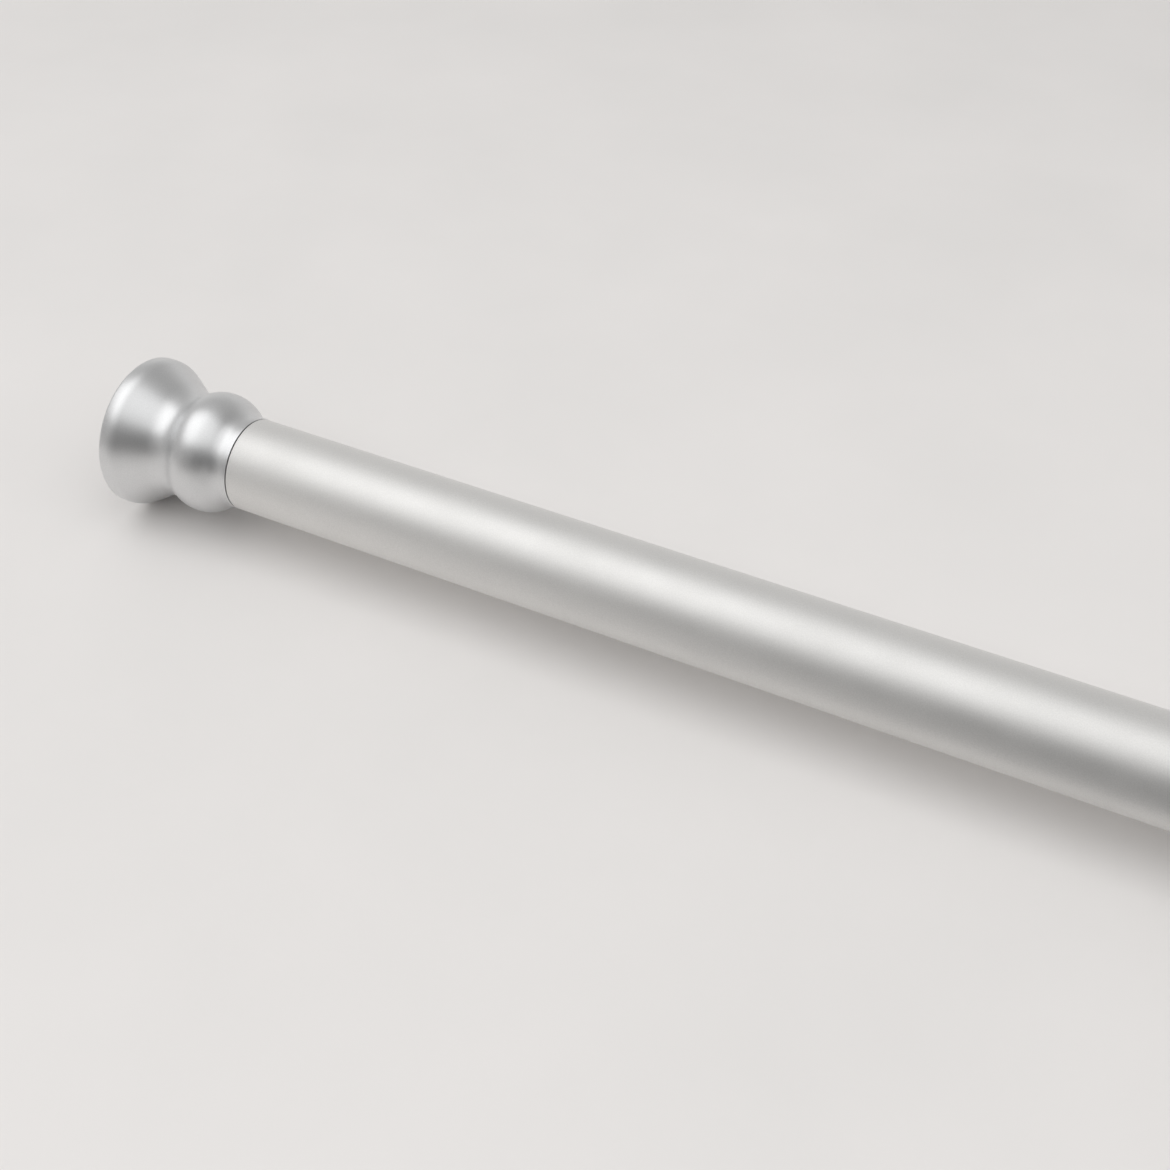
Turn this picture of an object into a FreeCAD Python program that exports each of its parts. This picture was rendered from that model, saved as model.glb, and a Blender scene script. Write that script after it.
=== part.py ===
"""Spring tension rod for a curtain, as a parametric document.

A thin tube slides in a wide one. A cam on the thin tube's inner end grips the wide tube when the two
are twisted against each other, and the spring behind the cam then presses the rubber pads in the
flared end caps against the walls.

The rod lies along +X with +Z up. The plane X = 0 is the wall that the wide tube's pad stands on.
Lengths are in millimetres and angles in degrees.
"""
import FreeCAD, Part

import math
import os
from types import SimpleNamespace

import Sketcher

SIZES = [
    # Tubes: rolled steel with a coat of satin silver.
    ("outer_od", 25.4, "outside of the wide tube"),
    ("outer_wall", 0.7, "wall of the wide tube"),
    ("outer_length", 640.0, "length of the wide tube"),
    ("inner_od", 22.2, "outside of the thin tube"),
    ("inner_wall", 0.7, "wall of the thin tube"),
    ("inner_length", 545.0, "length of the thin tube"),
    ("shown_length", 110.0, "thin tube in view at rest, between the mouth bush and its cap"),
    ("crimp_depth", 0.8, "depth of the rolled grooves that hold the plugs in the thin tube"),
    ("crimp_floor", 1.4, "width of a rolled groove's floor"),
    # End caps: one moulded bell each, with a bead at the mouth and a flare at the wall.
    ("flare_od", 41.5, "outside of the flare's rim"),
    ("bead_od", 33.5, "outside of the bead's crown"),
    ("bead_arc", 9.8, "radius of the bead's outline"),
    ("waist_depth", 1.9, "how far the waist lies below the bead's crown"),
    ("waist_arc", 8.5, "radius of the waist's hollow outline"),
    ("flare_angle", 32.5, "slope of the bell between waist and rim"),
    ("rim_arc", 5.0, "radius that rounds the bell over into the rim"),
    ("rim_band", 1.6, "straight band on the rim"),
    ("rim_edge", 0.8, "bevel of the rim's front edge"),
    ("rim_width", 2.0, "width of the rim around the pad"),
    ("mouth_arc", 5.0, "hollow radius between the mouth and the bead"),
    ("outer_mouth_land", 1.9, "straight part of the mouth on the wide tube's cap"),
    ("inner_mouth_land", 0.5, "straight part of the mouth on the thin tube's cap"),
    ("mouth_step", 0.1, "how far a mouth stands above its tube"),
    ("mouth_edge", 0.2, "bevel of the mouth at the seam"),
    ("seam_gap", 0.3, "open seam between a cap's shoulder and its tube"),
    ("cap_wall", 2.2, "wall of the bell"),
    ("spigot_length", 18.0, "length of the spigot in the tube"),
    ("spigot_wall", 2.0, "wall of the spigot"),
    ("spigot_play", 0.35, "radial room between spigot and tube, which the ribs take up"),
    ("spigot_lead", 1.0, "bevel at the spigot's tip"),
    ("rib_count", 6, "crush ribs round a spigot"),
    ("rib_width", 1.5, "width of a crush rib"),
    # Wall pads: soft rubber plugs with ringed faces.
    ("pad_seat", 2.5, "depth of the seat in the rim"),
    ("pad_ledge", 1.5, "width of the ledge that the pad rests on"),
    ("pad_proud", 1.2, "how far the pad stands out of the rim"),
    ("pad_play", 0.2, "room between the pad and its seat"),
    ("pad_plug", 8.0, "length of the pad's plug in the cap's bore"),
    ("pad_plug_wall", 2.0, "wall of the pad's plug"),
    ("pad_rings", 2, "grooves in the pad's face"),
    ("pad_ring_pitch", 6.0, "distance from groove to groove"),
    ("pad_ring_width", 1.2, "width of a groove"),
    ("pad_ring_depth", 0.7, "depth of a groove"),
    # Mouth bush: the sleeve at the wide tube's open end that the thin tube slides in.
    ("bush_length", 22.0, "length of the sleeve in the tube"),
    ("bush_lip", 1.6, "thickness of the lip outside the tube"),
    ("bush_edge", 0.4, "bevels of the lip"),
    # Cam lock on the thin tube's inner end.
    ("nose_length", 6.4, "length of the nose disc"),
    ("nose_bevel", 1.2, "bevel round the nose"),
    ("flange_play", 0.7, "room between the lock's flanges and the wide tube"),
    ("flange_thickness", 3.0, "flange behind the cam"),
    ("ring_width", 3.0, "width of the guide ring"),
    ("ring_thickness", 1.6, "thickness of the guide ring"),
    ("ring_angle", 340.0, "turn of the split guide ring"),
    ("journal_od", 14.0, "the eccentric that the cam collar turns on"),
    ("eccentricity", 1.2, "distance from the eccentric's axis to the tube's axis"),
    ("collar_width", 13.6, "width of the cam collar"),
    ("collar_play", 0.6, "room between the unlocked collar and the tube"),
    ("lug_width", 4.0, "width of the lug in the collar's slot"),
    ("slot_room", 2.5, "angle left on either side of the lug, past the collar's swing"),
    ("grip_count", 10, "grip grooves round the collar"),
    ("grip_width", 1.4, "width of a grip groove"),
    ("grip_depth", 0.6, "depth of a grip groove"),
    ("stem_od", 12.0, "stem that slides in the guide bush"),
    ("stem_flats", 9.0, "across the stem's two flats"),
    ("spring_travel", 30.0, "stroke of the sprung stem"),
    ("bump_gap", 2.0, "room left at the end of the stroke"),
    # Guide bush, spring and the stop behind it, all inside the thin tube.
    ("guide_flange", 2.0, "thickness of the guide bush's flange"),
    ("guide_length", 14.0, "length of the guide bush in the tube"),
    ("guide_play", 0.3, "room between the guide bush's flange and the wide tube"),
    ("tail_gap", 0.2, "room between the guide bush and the washer at rest"),
    ("washer_od", 18.6, "outside of the spring washer"),
    ("washer_thickness", 1.2, "thickness of the spring washer"),
    ("spring_od", 18.0, "outside of the spring"),
    ("spring_wire", 1.6, "thickness of the spring's wire"),
    ("spring_length", 66.0, "length of the spring as fitted"),
    ("spring_turns", 7, "turns of the spring"),
    ("stop_length", 14.0, "length of the spring stop"),
    ("stop_wall", 2.6, "wall of the spring stop"),
    ("pilot_length", 8.0, "length of the pilot that centres the spring"),
    ("pilot_play", 0.4, "room between the pilot and the spring"),
    # Screws at both ends of the lock.
    ("screw_od", 4.0, "outside of a screw's shank"),
    ("screw_length", 12.0, "length of a screw's shank"),
    ("head_od", 7.6, "outside of a screw's head"),
    ("head_height", 2.6, "height of a screw's head"),
    ("head_bevel", 0.8, "bevel round a screw's head"),
    ("head_slot", 1.2, "width of the slot in a screw's head"),
    ("head_slot_depth", 1.3, "depth of the slot in a screw's head"),
    ("screw_room", 1.0, "hole left beyond a screw's tip"),
    # Fits.
    ("press_gap", 0.05, "room left in a pressed or screwed fit"),
    ("run_gap", 0.15, "running clearance on a radius or a face"),
]


class Size:
    """A number together with the sheet formula that drives it."""

    def __init__(self, number, formula):
        self.number = float(number)
        self.formula = formula

    def __add__(self, other):
        other = as_size(other)
        return Size(self.number + other.number, f"({self.formula} + {other.formula})")

    def __sub__(self, other):
        other = as_size(other)
        return Size(self.number - other.number, f"({self.formula} - {other.formula})")

    def __mul__(self, other):
        other = as_size(other)
        return Size(self.number * other.number, f"({self.formula} * {other.formula})")

    def __truediv__(self, other):
        other = as_size(other)
        return Size(self.number / other.number, f"({self.formula} / {other.formula})")

    def __neg__(self):
        return Size(-self.number, f"(0 - {self.formula})")


def as_size(value):
    return value if isinstance(value, Size) else Size(value, str(value))


def root(size):
    return Size(math.sqrt(size.number), f"sqrt({size.formula})")


def sine(angle):
    return Size(math.sin(math.radians(angle.number)), f"sin({angle.formula})")


def cosine(angle):
    return Size(math.cos(math.radians(angle.number)), f"cos({angle.formula})")


def arcsine(ratio):
    return Size(math.degrees(math.asin(ratio.number)), f"(asin({ratio.formula}) / 1deg)")


def leg(long_side, short_side):
    """The third side of a right triangle."""
    return root(long_side * long_side - short_side * short_side)


doc = FreeCAD.newDocument("spring_tension_rod")
sheet = doc.addObject("Spreadsheet::Sheet", "Sizes")
for row, (alias, number, meaning) in enumerate(SIZES, start=1):
    sheet.set(f"A{row}", meaning)
    sheet.set(f"B{row}", str(number))
    sheet.setAlias(f"B{row}", alias)
doc.recompute()

size = SimpleNamespace(**{alias: Size(number, f"Sizes.{alias}") for alias, number, meaning in SIZES})
AXIS = as_size(0)


def new_body(label):
    body = doc.addObject("PartDesign::Body", label)
    body.Label = label
    return body


def origin_item(body, role):
    return next(item for item in body.Origin.OriginFeatures if item.Role == role)


def new_sketch(body, name, plane="XY_Plane", along=AXIS):
    """A sketch on one of the body's own planes, moved out along that plane's normal."""
    sketch = body.newObject("Sketcher::SketchObject", f"{body.Name}_{name}")
    sketch.AttachmentSupport = [(origin_item(body, plane), "")]
    sketch.MapMode = "FlatFace"
    sketch.setExpression("AttachmentOffset.Base.z", along.formula)
    return sketch


def hold(sketch, kind, places, value):
    """Adds a dimension that follows a formula."""
    index = sketch.addConstraint(Sketcher.Constraint(kind, *places, value.number))
    sketch.setExpression(f"Constraints[{index}]", value.formula)


def hold_point(sketch, edge, end, x, y):
    """Fixes a point of the sketch, on an axis where its distance is nought."""
    if x is AXIS:
        sketch.addConstraint(Sketcher.Constraint("PointOnObject", edge, end, -2))
    else:
        hold(sketch, "DistanceX", (edge, end), x)
    if y is AXIS:
        sketch.addConstraint(Sketcher.Constraint("PointOnObject", edge, end, -1))
    else:
        hold(sketch, "DistanceY", (edge, end), y)


def draw_outline(sketch, corners):
    """Draws a closed outline through corners (x, y).

    A corner (x, y, radius, turn) is reached by an arc: turn is 1 if it runs counterclockwise, else -1.
    """
    points = [FreeCAD.Vector(corner[0].number, corner[1].number, 0) for corner in corners]
    ends = []
    for index, corner in enumerate(corners):
        start = points[index - 1]
        stop = points[index]
        if len(corner) == 2:
            edge = sketch.addGeometry(Part.LineSegment(start, stop), False)
            ends.append((edge, 1, 2))
            continue
        radius, turn = corner[2:]
        chord = stop - start
        rise = math.sqrt(radius.number ** 2 - chord.Length ** 2 / 4)
        across = FreeCAD.Vector(-chord.y, chord.x, 0).normalize()
        centre = (start + stop) / 2 + across * rise * turn
        first, last = (start, stop) if turn > 0 else (stop, start)
        angles = [math.atan2(point.y - centre.y, point.x - centre.x) for point in (first, last)]
        circle = Part.Circle(centre, FreeCAD.Vector(0, 0, 1), radius.number)
        edge = sketch.addGeometry(Part.ArcOfCircle(circle, *angles), False)
        ends.append((edge, 1, 2) if turn > 0 else (edge, 2, 1))
    for index, corner in enumerate(corners):
        edge, begin, finish = ends[index]
        following, following_begin, _ = ends[(index + 1) % len(ends)]
        sketch.addConstraint(Sketcher.Constraint("Coincident", edge, finish, following, following_begin))
        hold_point(sketch, edge, finish, corner[0], corner[1])
        if len(corner) > 2:
            hold(sketch, "Radius", (edge,), corner[2])


def draw_circle(sketch, radius, x=AXIS, y=AXIS):
    centre = FreeCAD.Vector(x.number, y.number, 0)
    edge = sketch.addGeometry(Part.Circle(centre, FreeCAD.Vector(0, 0, 1), radius.number), False)
    hold_point(sketch, edge, 3, x, y)
    hold(sketch, "Radius", (edge,), radius)


def turned(label, corners, angle=as_size(360)):
    """A body turned about X from the outline of half its section."""
    body = new_body(label)
    sketch = new_sketch(body, "section")
    draw_outline(sketch, corners)
    turn = body.newObject("PartDesign::Revolution", f"{label}_turn")
    turn.Profile = sketch
    turn.ReferenceAxis = (sketch, ["H_Axis"])
    turn.setExpression("Angle", angle.formula)
    return body


def extrude(body, sketch, length, kind="PartDesign::Pad", reverse=False):
    feature = body.newObject(kind, f"{sketch.Name}_run")
    feature.Profile = sketch
    feature.Reversed = reverse
    feature.setExpression("Length", length.formula)
    return feature


def pattern_round(body, feature, count):
    pattern = body.newObject("PartDesign::PolarPattern", f"{feature.Name}_round")
    pattern.Originals = [feature]
    pattern.Axis = (origin_item(body, "X_Axis"), [""])
    pattern.Angle = 360
    pattern.setExpression("Occurrences", count.formula)
    body.Tip = pattern


def rod(body, name, radius, start, length, offset=AXIS):
    """Adds a round bar along X."""
    sketch = new_sketch(body, name, "YZ_Plane", start)
    draw_circle(sketch, radius, offset)
    return extrude(body, sketch, length)


def bore(body, name, radius, start, depth, reverse=False):
    """Cuts a round hole along +X, or along -X where reversed."""
    sketch = new_sketch(body, name, "YZ_Plane", start)
    draw_circle(sketch, radius)
    return extrude(body, sketch, depth, "PartDesign::Pocket", not reverse)


def two_flats(sketch, radius, half_flats):
    """The outline of a round bar with two flats."""
    half_width = leg(radius, half_flats)
    draw_outline(sketch, [
        (-half_width, -half_flats, radius, 1),
        (half_width, -half_flats),
        (half_width, half_flats, radius, 1),
        (-half_width, half_flats),
    ])


def place(body, x, turned_round=False):
    """Sets a body on the rod's axis, facing the other way where it is turned round."""
    half_turn = FreeCAD.Rotation(FreeCAD.Vector(0, 0, 1), 180 if turned_round else 0)
    body.Placement = FreeCAD.Placement(FreeCAD.Vector(x.number, 0, 0), half_turn)
    body.setExpression("Placement.Base.x", x.formula)


# Radii that several pieces share.
outer_bore = size.outer_od / 2 - size.outer_wall
inner_bore = size.inner_od / 2 - size.inner_wall
flare_radius = size.flare_od / 2
bead_radius = size.bead_od / 2
waist_radius = bead_radius - size.waist_depth
cap_bore = waist_radius - size.cap_wall
pad_seat_radius = flare_radius - size.rim_width
spring_radius = (size.spring_od - size.spring_wire) / 2
screw_hole = size.screw_od / 2 + size.press_gap
flange_radius = outer_bore - size.flange_play


def bell_outline(tube_od, mouth_land):
    """Works out a cap's outline from its mouth to its rim, as (distance from the shoulder, radius)."""
    mouth_radius = tube_od / 2 + size.mouth_step
    bead_level = bead_radius - size.bead_arc
    mouth_reach = size.bead_arc + size.mouth_arc
    mouth_rise = mouth_radius + size.mouth_arc - bead_level
    mouth_run = leg(mouth_reach, mouth_rise)
    bead_place = mouth_land + mouth_run
    waist_reach = size.bead_arc + size.waist_arc
    waist_rise = waist_radius + size.waist_arc - bead_level
    waist_run = leg(waist_reach, waist_rise)
    waist_place = bead_place + waist_run
    slope_sine = sine(size.flare_angle)
    slope_cosine = cosine(size.flare_angle)
    bell_start = waist_place + size.waist_arc * slope_sine
    bell_start_radius = waist_radius + size.waist_arc * (as_size(1) - slope_cosine)
    bell_end_radius = flare_radius - size.rim_arc * (as_size(1) - slope_cosine)
    bell_run = (bell_end_radius - bell_start_radius) * slope_cosine / slope_sine
    bell_end = bell_start + bell_run
    rim_start = bell_end + size.rim_arc * slope_sine
    bead_share = size.bead_arc / mouth_reach
    waist_share = size.bead_arc / waist_reach
    corners = [
        (size.mouth_edge, mouth_radius),
        (mouth_land, mouth_radius),
        (bead_place - mouth_run * bead_share, bead_level + mouth_rise * bead_share, size.mouth_arc, 1),
        (bead_place + waist_run * waist_share, bead_level + waist_rise * waist_share, size.bead_arc, -1),
        (bell_start, bell_start_radius, size.waist_arc, 1),
        (bell_end, bell_end_radius),
        (rim_start, flare_radius, size.rim_arc, -1),
        (rim_start + size.rim_band, flare_radius),
    ]
    bore_start = bead_place - leg(size.bead_arc, waist_radius - bead_level)
    wall_drop = bell_start_radius - size.cap_wall * slope_cosine - cap_bore
    bore_end = bell_start + size.cap_wall * slope_sine - wall_drop * slope_cosine / slope_sine
    length = rim_start + size.rim_band + size.rim_edge
    return SimpleNamespace(corners=corners, bore_start=bore_start, bore_end=bore_end, length=length)


def end_cap(label, tube_od, tube_bore, mouth_land):
    """A flared end cap. Its spigot's tip is at X = 0 and its rim faces +X."""
    bell = bell_outline(tube_od, mouth_land)
    shoulder = size.spigot_length
    spigot_radius = tube_bore - size.spigot_play
    spigot_bore = spigot_radius - size.spigot_wall
    mouth_radius = tube_od / 2 + size.mouth_step
    front = shoulder + bell.length
    seat_floor = front - size.pad_seat
    outside = [(shoulder + corner[0], *corner[1:]) for corner in bell.corners]
    inside = [
        (front, flare_radius - size.rim_edge),
        (front, pad_seat_radius),
        (seat_floor, pad_seat_radius),
        (seat_floor, pad_seat_radius - size.pad_ledge),
        (shoulder + bell.bore_end, cap_bore),
        (shoulder + bell.bore_start, cap_bore),
        (shoulder + bell.bore_start, spigot_bore),
        (AXIS, spigot_bore),
        (AXIS, spigot_radius - size.spigot_lead),
        (size.spigot_lead, spigot_radius),
        (shoulder, spigot_radius),
        (shoulder, mouth_radius - size.mouth_edge),
    ]
    body = turned(label, outside + inside)
    rib = new_sketch(body, "rib", "YZ_Plane", size.spigot_lead)
    rib_foot = spigot_radius - size.spigot_wall / 2
    rib_top = tube_bore - size.press_gap
    half_width = size.rib_width / 2
    draw_outline(rib, [
        (-half_width, rib_foot),
        (half_width, rib_foot),
        (half_width, leg(rib_top, half_width)),
        (-half_width, leg(rib_top, half_width), rib_top, 1),
    ])
    pattern_round(body, extrude(body, rib, shoulder - size.spigot_lead), size.rib_count)
    return body


def wall_pad(label):
    """A rubber pad. Its plug's end is at X = 0 and its ringed face looks along +X."""
    pad_radius = pad_seat_radius - size.pad_play
    plug_radius = cap_bore - size.pad_play
    back = size.pad_plug
    face = back + size.pad_seat + size.pad_proud
    groove_floor = face - size.pad_ring_depth
    corners = [(back, AXIS), (face, AXIS)]
    for ring in range(1, int(size.pad_rings.number) + 1):
        middle = size.pad_ring_pitch * ring
        low = middle - size.pad_ring_width / 2
        high = middle + size.pad_ring_width / 2
        corners += [(face, low), (groove_floor, low), (groove_floor, high), (face, high)]
    corners += [
        (face, pad_radius - size.pad_ring_depth),
        (groove_floor, pad_radius),
        (back, pad_radius),
        (back, plug_radius),
        (AXIS, plug_radius),
        (AXIS, plug_radius - size.pad_plug_wall),
        (back, plug_radius - size.pad_plug_wall),
    ]
    return turned(label, corners)


def screw(label):
    """A slotted pan-head screw. The underside of its head is at X = 0 and its tip points along +X."""
    shank = size.screw_od / 2
    head = size.head_od / 2
    body = turned(label, [
        (-size.head_height, AXIS),
        (size.screw_length, AXIS),
        (size.screw_length - shank, shank),
        (AXIS, shank),
        (AXIS, head),
        (size.head_bevel - size.head_height, head),
        (-size.head_height, head - size.head_bevel),
    ])
    slot = new_sketch(body, "slot", "YZ_Plane", -size.head_height)
    half_slot = size.head_slot / 2
    draw_outline(slot, [(-head, -half_slot), (head, -half_slot), (head, half_slot), (-head, half_slot)])
    extrude(body, slot, size.head_slot_depth, "PartDesign::Pocket", True)
    return body


# Stations along the rod, from the wall at X = 0.
outer_bell = bell_outline(size.outer_od, size.outer_mouth_land)
inner_bell = bell_outline(size.inner_od, size.inner_mouth_land)
outer_shoulder = size.pad_proud + outer_bell.length
outer_start = outer_shoulder + size.seam_gap
mouth = outer_start + size.outer_length
inner_shoulder = mouth + size.bush_lip + size.shown_length
inner_start = inner_shoulder - size.seam_gap - size.inner_length
far_wall = inner_shoulder + inner_bell.length + size.pad_proud
journal_length = size.collar_width + size.run_gap * 2
stem_start = inner_start - size.guide_flange - size.spring_travel - size.bump_gap
journal_start = stem_start - size.flange_thickness - journal_length
nose_start = journal_start - size.nose_length
washer_start = inner_start + size.guide_length + size.tail_gap
spring_start = washer_start + size.washer_thickness
spring_end = spring_start + size.spring_length

# The wide tube and its fittings.
outer_tube = turned("outer_tube", [
    (AXIS, outer_bore),
    (size.outer_length, outer_bore),
    (size.outer_length, size.outer_od / 2),
    (AXIS, size.outer_od / 2),
])
place(outer_tube, outer_start)

outer_end_cap = end_cap("outer_end_cap", size.outer_od, outer_bore, size.outer_mouth_land)
place(outer_end_cap, outer_shoulder + size.spigot_length, turned_round=True)

pad_depth = size.pad_plug + size.pad_seat + size.pad_proud
outer_wall_pad = wall_pad("outer_wall_pad")
place(outer_wall_pad, pad_depth, turned_round=True)

bush_bore = size.inner_od / 2 + size.run_gap
bush_end = size.bush_length + size.bush_lip
mouth_bush = turned("mouth_bush", [
    (AXIS, bush_bore),
    (bush_end - size.bush_edge, bush_bore),
    (bush_end, bush_bore + size.bush_edge),
    (bush_end, size.outer_od / 2 - size.bush_edge),
    (bush_end - size.bush_edge, size.outer_od / 2),
    (size.bush_length, size.outer_od / 2),
    (size.bush_length, outer_bore - size.press_gap),
    (AXIS, outer_bore - size.press_gap),
])
place(mouth_bush, mouth - size.bush_length)

# The cam lock, from its nose to its tail.
ring_outside = outer_bore - size.run_gap
ring_inside = ring_outside - size.ring_thickness
groove_floor = ring_inside - size.run_gap
groove_start = (size.nose_length + size.nose_bevel - size.ring_width) / 2 - size.run_gap
groove_end = groove_start + size.ring_width + size.run_gap * 2
head_seat = size.head_height + size.run_gap
nose_disc = turned("nose_disc", [
    (AXIS, size.head_od / 2 + size.run_gap),
    (AXIS, flange_radius - size.nose_bevel),
    (size.nose_bevel, flange_radius),
    (groove_start, flange_radius),
    (groove_start, groove_floor),
    (groove_end, groove_floor),
    (groove_end, flange_radius),
    (size.nose_length, flange_radius),
    (size.nose_length, screw_hole),
    (head_seat, screw_hole),
    (head_seat, size.head_od / 2 + size.run_gap),
])
place(nose_disc, nose_start)

guide_ring = turned("guide_ring", [
    (AXIS, ring_inside),
    (size.ring_width, ring_inside),
    (size.ring_width, ring_outside),
    (AXIS, ring_outside),
], size.ring_angle)
place(guide_ring, nose_start + groove_start + size.run_gap)

nose_screw = screw("nose_screw")
place(nose_screw, nose_start + head_seat)

lock_spindle = new_body("lock_spindle")
journal_radius = size.journal_od / 2
rod(lock_spindle, "journal", journal_radius, AXIS, journal_length, size.eccentricity)
rod(lock_spindle, "flange", flange_radius, journal_length, size.flange_thickness)
lug = new_sketch(lock_spindle, "lug", "YZ_Plane")
lug_foot = size.eccentricity + journal_radius - size.lug_width / 2
lug_top = flange_radius - size.run_gap
draw_outline(lug, [
    (lug_foot, -size.lug_width / 2),
    (leg(lug_top, size.lug_width / 2), -size.lug_width / 2),
    (leg(lug_top, size.lug_width / 2), size.lug_width / 2, lug_top, 1),
    (lug_foot, size.lug_width / 2),
])
extrude(lock_spindle, lug, journal_length)
stem_length = size.spring_travel + size.bump_gap + size.guide_flange + size.guide_length + size.tail_gap
stem_from = journal_length + size.flange_thickness
stem = new_sketch(lock_spindle, "stem", "YZ_Plane", stem_from)
two_flats(stem, size.stem_od / 2, size.stem_flats / 2)
extrude(lock_spindle, stem, stem_length)
nose_hole = size.screw_length - (size.nose_length - head_seat) + size.screw_room
tail_hole = size.screw_length - size.washer_thickness + size.screw_room
bore(lock_spindle, "nose_hole", screw_hole, AXIS, nose_hole)
bore(lock_spindle, "tail_hole", screw_hole, stem_from + stem_length, tail_hole, reverse=True)
place(lock_spindle, journal_start)

cam_collar = new_body("cam_collar")
collar_radius = outer_bore - size.collar_play
collar = new_sketch(cam_collar, "ring", "YZ_Plane")
draw_circle(collar, collar_radius)
draw_circle(collar, journal_radius + size.run_gap, size.eccentricity)
extrude(cam_collar, collar, size.collar_width)
jam_swing = arcsine(size.collar_play / (size.eccentricity * 2)) * 2
slot_high = arcsine(size.lug_width / 2 / (journal_radius + size.run_gap)) + size.slot_room
slot_low = -slot_high - jam_swing
slot_reach = size.outer_od
slot = new_sketch(cam_collar, "slot", "YZ_Plane")
draw_outline(slot, [
    (size.eccentricity, AXIS),
    (size.eccentricity + slot_reach * cosine(slot_low), slot_reach * sine(slot_low)),
    (size.eccentricity + slot_reach * cosine(slot_high), slot_reach * sine(slot_high)),
])
extrude(cam_collar, slot, size.collar_width, "PartDesign::Pocket", True)
grip = new_sketch(cam_collar, "grip", "YZ_Plane")
draw_outline(grip, [
    (-collar_radius - size.grip_depth, -size.grip_width / 2),
    (size.grip_depth - collar_radius, -size.grip_width / 2),
    (size.grip_depth - collar_radius, size.grip_width / 2),
    (-collar_radius - size.grip_depth, size.grip_width / 2),
])
grip_cut = extrude(cam_collar, grip, size.collar_width, "PartDesign::Pocket", True)
pattern_round(cam_collar, grip_cut, size.grip_count)
place(cam_collar, journal_start + size.run_gap)

spring_washer = turned("spring_washer", [
    (AXIS, screw_hole),
    (size.washer_thickness, screw_hole),
    (size.washer_thickness, size.washer_od / 2),
    (AXIS, size.washer_od / 2),
])
place(spring_washer, washer_start)

tail_screw = screw("tail_screw")
place(tail_screw, spring_start, turned_round=True)

# The thin tube and its fittings.
plug_radius = inner_bore - size.press_gap
groove_radius = plug_radius - size.crimp_depth
guide_crimp = size.guide_length / 2
stop_crimp = spring_end - inner_start + size.stop_length / 2
crimp_half = size.crimp_floor / 2
crimp_reach = crimp_half + size.crimp_depth
plug_groove = crimp_reach + size.run_gap


def crimp(middle, radius, turn):
    """The corners of a rolled groove in the thin tube's wall, taken along +X or -X."""
    floor = radius - size.crimp_depth
    return [
        (middle - crimp_reach * turn, radius),
        (middle - crimp_half * turn, floor),
        (middle + crimp_half * turn, floor),
        (middle + crimp_reach * turn, radius),
    ]


inner_tube = turned("inner_tube", [
    (AXIS, inner_bore),
    *crimp(guide_crimp, inner_bore, 1),
    *crimp(stop_crimp, inner_bore, 1),
    (size.inner_length, inner_bore),
    (size.inner_length, size.inner_od / 2),
    *crimp(stop_crimp, size.inner_od / 2, -1),
    *crimp(guide_crimp, size.inner_od / 2, -1),
    (AXIS, size.inner_od / 2),
])
place(inner_tube, inner_start)

guide_seat = size.guide_flange
guide_end = guide_seat + size.guide_length
guide_flange_radius = outer_bore - size.guide_play
guide_bush = turned("guide_bush", [
    (AXIS, AXIS),
    (guide_end, AXIS),
    (guide_end, plug_radius),
    (guide_seat + guide_crimp + plug_groove, plug_radius),
    (guide_seat + guide_crimp + plug_groove, groove_radius),
    (guide_seat + guide_crimp - plug_groove, groove_radius),
    (guide_seat + guide_crimp - plug_groove, plug_radius),
    (guide_seat, plug_radius),
    (guide_seat, guide_flange_radius),
    (AXIS, guide_flange_radius),
])
keyhole = new_sketch(guide_bush, "keyhole", "YZ_Plane")
two_flats(keyhole, size.stem_od / 2 + size.run_gap, size.stem_flats / 2 + size.run_gap)
extrude(guide_bush, keyhole, guide_end, "PartDesign::Pocket", True)
place(guide_bush, inner_start - guide_seat)

compression_spring = new_body("compression_spring")
wire = new_sketch(compression_spring, "wire")
wire_half = size.spring_wire / 2
draw_outline(wire, [
    (AXIS, spring_radius - wire_half),
    (size.spring_wire, spring_radius - wire_half),
    (size.spring_wire, spring_radius + wire_half),
    (AXIS, spring_radius + wire_half),
])
coil = compression_spring.newObject("PartDesign::AdditiveHelix", "coil")
coil.Profile = wire
coil.ReferenceAxis = (wire, ["H_Axis"])
coil.Mode = "height-turns-angle"
coil.setExpression("Height", (size.spring_length - size.spring_wire).formula)
coil.setExpression("Turns", size.spring_turns.formula)
place(compression_spring, spring_start)

pilot_radius = spring_radius - size.spring_wire / 2 - size.pilot_play
stop_seat = size.pilot_length
stop_end = stop_seat + size.stop_length
stop_groove = stop_seat + size.stop_length / 2
spring_stop = turned("spring_stop", [
    (AXIS, AXIS),
    (stop_seat, AXIS),
    (stop_seat, plug_radius - size.stop_wall * 2),
    (stop_end, plug_radius - size.stop_wall * 2),
    (stop_end, plug_radius),
    (stop_groove + plug_groove, plug_radius),
    (stop_groove + plug_groove, groove_radius),
    (stop_groove - plug_groove, groove_radius),
    (stop_groove - plug_groove, plug_radius),
    (stop_seat, plug_radius),
    (stop_seat, pilot_radius),
    (size.spring_wire, pilot_radius),
    (AXIS, pilot_radius - size.spring_wire),
])
place(spring_stop, spring_end - stop_seat)

inner_end_cap = end_cap("inner_end_cap", size.inner_od, inner_bore, size.inner_mouth_land)
place(inner_end_cap, inner_shoulder - size.spigot_length)

inner_wall_pad = wall_pad("inner_wall_pad")
place(inner_wall_pad, far_wall - pad_depth)

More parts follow.
